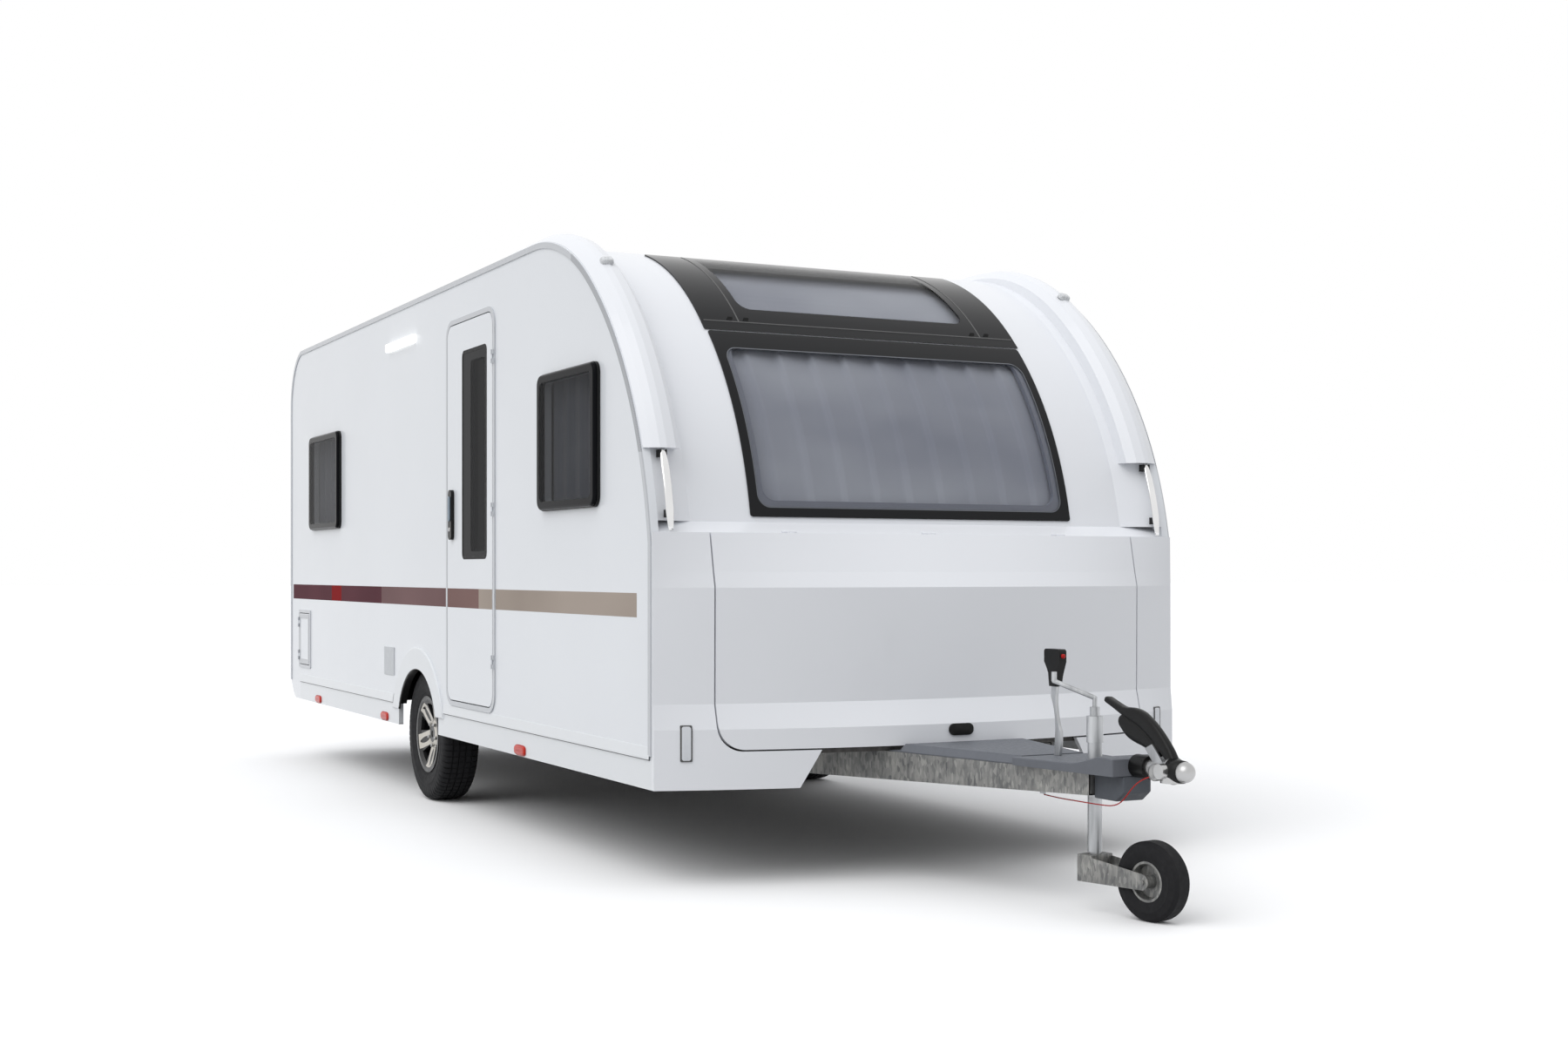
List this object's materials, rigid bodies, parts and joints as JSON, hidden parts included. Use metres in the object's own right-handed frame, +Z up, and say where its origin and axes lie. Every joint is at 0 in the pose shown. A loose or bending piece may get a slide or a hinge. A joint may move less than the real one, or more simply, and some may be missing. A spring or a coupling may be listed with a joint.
{
  "type": "single-axle touring caravan",
  "caption": "Touring caravan with a hollow cabin, bowed locker lid, panoramic front windows, drawbar with jockey wheel and folding corner steadies.",
  "frame": {"origin": "on the ground, below the middle of the overall length and width", "axes": "+Z up, -Y towards the coupling (front), +X towards the side without the door"},
  "size_m": [2.354, 7.324, 2.535],
  "materials": {
    "acrylic": "gloss",
    "alloy": "satin",
    "bare_metal": "satin",
    "black_plastic": "satin",
    "curtain_cloth": "matte",
    "floor_board": "matte",
    "galvanised": "mottled",
    "gloss_white": "gloss",
    "grey_plastic": "matte",
    "lamp_glass": "gloss",
    "painted_grey": "satin",
    "red_lamp": "gloss",
    "rubber_black": "matte"
  },
  "bodies": {
    "caravan": {"floor": "floor_board", "side_wall_right": "gloss_white", "side_wall_left": "gloss_white", "roof": "gloss_white", "roof_hatches": "gloss_white", "rear_wall": "gloss_white", "rear_bumper": "gloss_white", "rear_lamps": "red_lamp", "front_panel": "gloss_white", "front_window": "acrylic", "sky_window": "acrylic", "front_apron": "gloss_white", "locker_bulkhead": "floor_board", "side_window_frames": "black_plastic", "side_window_panes": "acrylic", "skirts": "gloss_white", "wheel_arch_trims": "gloss_white", "wheel_boxes": "black_plastic", "door_frame": "gloss_white", "service_door_frame": "gloss_white", "wall_vents": "grey_plastic", "awning_lamp": "lamp_glass", "side_markers": "red_lamp", "grab_handles": "bare_metal", "curtains": "curtain_cloth", "drawbar_frame": "galvanised", "chassis_rails": "galvanised", "axle": "galvanised", "overrun_housing": "painted_grey", "coupling_head": "bare_metal", "coupling_handle": "black_plastic", "drawbar_cover": "grey_plastic", "handbrake_lever": "galvanised", "jockey_tube": "galvanised", "jockey_crank": "galvanised", "front_reflectors": "lamp_glass", "handbrake_grip": "black_plastic", "drawbar_bellows": "black_plastic", "awning_rails": "gloss_white", "grab_spacers": "black_plastic"},
    "door": {"entrance_door": "gloss_white", "door_window": "acrylic", "door_handle": "black_plastic"},
    "lid": {"front_lid": "gloss_white", "lid_lock": "black_plastic"},
    "service_hatch": {"service_door": "gloss_white"},
    "wheel_right": {"tyre_right": "rubber_black", "rim_right": "alloy"},
    "wheel_left": {"tyre_left": "rubber_black", "rim_left": "alloy"},
    "jockey_slide": {"jockey_leg": "galvanised"},
    "jockey_caster": {"jockey_fork": "galvanised"},
    "jockey_roller": {"jockey_tyre": "rubber_black", "jockey_rim": "bare_metal"},
    "leg_front_right": {"steady_front_right": "galvanised"},
    "leg_front_left": {"steady_front_left": "galvanised"},
    "leg_rear_right": {"steady_rear_right": "galvanised"},
    "leg_rear_left": {"steady_rear_left": "galvanised"}
  },
  "joints": [
    {"name": "wheel_right_spin", "type": "hinge", "parent": "caravan", "child": "wheel_right", "pos_m": [-1.021, 0.849, 0.325], "axis": [1, 0, 0], "continuous": true},
    {"name": "wheel_left_spin", "type": "hinge", "parent": "caravan", "child": "wheel_left", "pos_m": [1.021, 0.849, 0.325], "axis": [1, 0, 0], "continuous": true},
    {"name": "door_swing", "type": "hinge", "parent": "caravan", "child": "door", "pos_m": [-1.161, -0.335, 1.4], "axis": [0, 0, 1], "range_deg": [0, 160]},
    {"name": "lid_lift", "type": "hinge", "parent": "caravan", "child": "lid", "pos_m": [0, -2.098, 1.275], "axis": [-1, 0, 0], "range_deg": [0, 80]},
    {"name": "service_swing", "type": "hinge", "parent": "caravan", "child": "service_hatch", "pos_m": [-1.161, 3.416, 0.72], "axis": [0, 0, -1], "range_deg": [0, 150]},
    {"name": "jockey_lift", "type": "slide", "parent": "caravan", "child": "jockey_slide", "axis": [0, 0, -1], "range_m": [0, 0.2]},
    {"name": "jockey_swivel", "type": "hinge", "parent": "jockey_slide", "child": "jockey_caster", "pos_m": [0, -3.162, 0.17], "axis": [0, 0, 1], "continuous": true},
    {"name": "jockey_roll", "type": "hinge", "parent": "jockey_caster", "child": "jockey_roller", "pos_m": [0.04984, -3.40698, 0.13], "axis": [0.9799, 0.1994, 0], "continuous": true},
    {"name": "steady_front_right_drop", "type": "hinge", "parent": "caravan", "child": "leg_front_right", "pos_m": [-0.75, -1.771, 0.405], "axis": [-1, 0, 0], "range_deg": [0, 60]},
    {"name": "steady_front_left_drop", "type": "hinge", "parent": "caravan", "child": "leg_front_left", "pos_m": [0.75, -1.771, 0.405], "axis": [-1, 0, 0], "range_deg": [0, 60]},
    {"name": "steady_rear_right_drop", "type": "hinge", "parent": "caravan", "child": "leg_rear_right", "pos_m": [-0.75, 3.189, 0.405], "axis": [1, 0, 0], "range_deg": [0, 60]},
    {"name": "steady_rear_left_drop", "type": "hinge", "parent": "caravan", "child": "leg_rear_left", "pos_m": [0.75, 3.189, 0.405], "axis": [1, 0, 0], "range_deg": [0, 60]}
  ]
}
